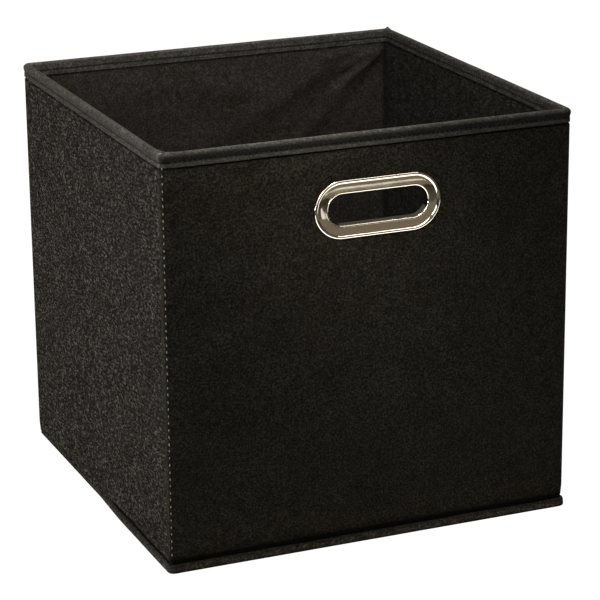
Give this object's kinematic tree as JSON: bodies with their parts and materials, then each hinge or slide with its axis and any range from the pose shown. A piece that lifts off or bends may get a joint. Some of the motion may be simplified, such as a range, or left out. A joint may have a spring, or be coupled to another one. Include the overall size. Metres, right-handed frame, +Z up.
{
  "type": "folding storage cube",
  "caption": "Open-topped folding storage cube in dark cloth over card stiffeners, with a bound rim, creased side walls, a lift-out base board and an oval ring handle in front.",
  "frame": {"origin": "middle of the base on the floor plane", "axes": "+Z up; the wall with the handle faces -Y; +X is to the right of someone facing that wall"},
  "size_m": [0.31, 0.31, 0.3],
  "materials": {
    "outer_cloth": "matt non-woven cloth, finely mottled",
    "lining_cloth": "matt non-woven cloth",
    "binding": "matt folded cloth tape",
    "dark_thread": "spun thread",
    "light_thread": "spun thread",
    "card": "plain grey-brown card",
    "plated_ring": "bright nickel-chrome plating over moulded plastic"
  },
  "bodies": {
    "back_wall": {"back_cloth": "outer_cloth", "back_card": "card", "back_lining": "lining_cloth", "back_rim": "binding", "back_rim_thread": "dark_thread", "base_cloth": "outer_cloth", "seam_fold_front": "outer_cloth", "seam_fold_back": "outer_cloth", "seam_fold_left": "outer_cloth", "seam_fold_right": "outer_cloth", "seam_tape_front": "binding", "seam_tape_back": "binding", "seam_tape_left": "binding", "seam_tape_right": "binding"},
    "left_rear": {"left_rear_cloth": "outer_cloth", "left_rear_card": "card", "left_rear_lining": "lining_cloth", "left_rear_rim": "binding", "left_rear_rim_thread": "dark_thread"},
    "left_front": {"left_front_cloth": "outer_cloth", "left_front_card": "card", "left_front_lining": "lining_cloth", "left_front_rim": "binding", "left_front_rim_thread": "dark_thread"},
    "front_wall": {"front_cloth": "outer_cloth", "front_card": "card", "front_lining": "lining_cloth", "front_rim": "binding", "front_rim_thread": "dark_thread", "corner_stitches": "light_thread", "handle_ring_front": "plated_ring", "handle_ring_rear": "plated_ring"},
    "right_rear": {"right_rear_cloth": "outer_cloth", "right_rear_card": "card", "right_rear_lining": "lining_cloth", "right_rear_rim": "binding", "right_rear_rim_thread": "dark_thread"},
    "right_front": {"right_front_cloth": "outer_cloth", "right_front_card": "card", "right_front_lining": "lining_cloth", "right_front_rim": "binding", "right_front_rim_thread": "dark_thread"},
    "base_board": {"base_board_card": "card", "base_board_cover": "lining_cloth"}
  },
  "joints": [
    {"name": "fold", "type": "hinge", "parent": "back_wall", "child": "left_rear", "pos_m": [-0.149, 0.149, 0.15], "axis": [0, 0, 1], "range_deg": [0, 86]},
    {"name": "left_crease", "type": "hinge", "parent": "left_rear", "child": "left_front", "pos_m": [-0.154, 0, 0.15], "axis": [0, 0, 1], "range_deg": [-172, 0]},
    {"name": "front_left_corner", "type": "hinge", "parent": "left_front", "child": "front_wall", "pos_m": [-0.149, -0.149, 0.15], "axis": [0, 0, 1], "range_deg": [0, 86]},
    {"name": "back_right_corner", "type": "hinge", "parent": "back_wall", "child": "right_rear", "pos_m": [0.149, 0.149, 0.15], "axis": [0, 0, 1], "range_deg": [-86, 0]},
    {"name": "right_crease", "type": "hinge", "parent": "right_rear", "child": "right_front", "pos_m": [0.154, 0, 0.15], "axis": [0, 0, 1], "range_deg": [0, 172]},
    {"name": "board_lift", "type": "slide", "parent": "back_wall", "child": "base_board", "axis": [0, 0, 1], "range_m": [0, 0.32]}
  ],
  "couplings": [
    {"joint": "left_crease", "follows": "fold", "ratio": -2},
    {"joint": "front_left_corner", "follows": "fold", "ratio": 1},
    {"joint": "back_right_corner", "follows": "fold", "ratio": -1},
    {"joint": "right_crease", "follows": "fold", "ratio": 2}
  ]
}
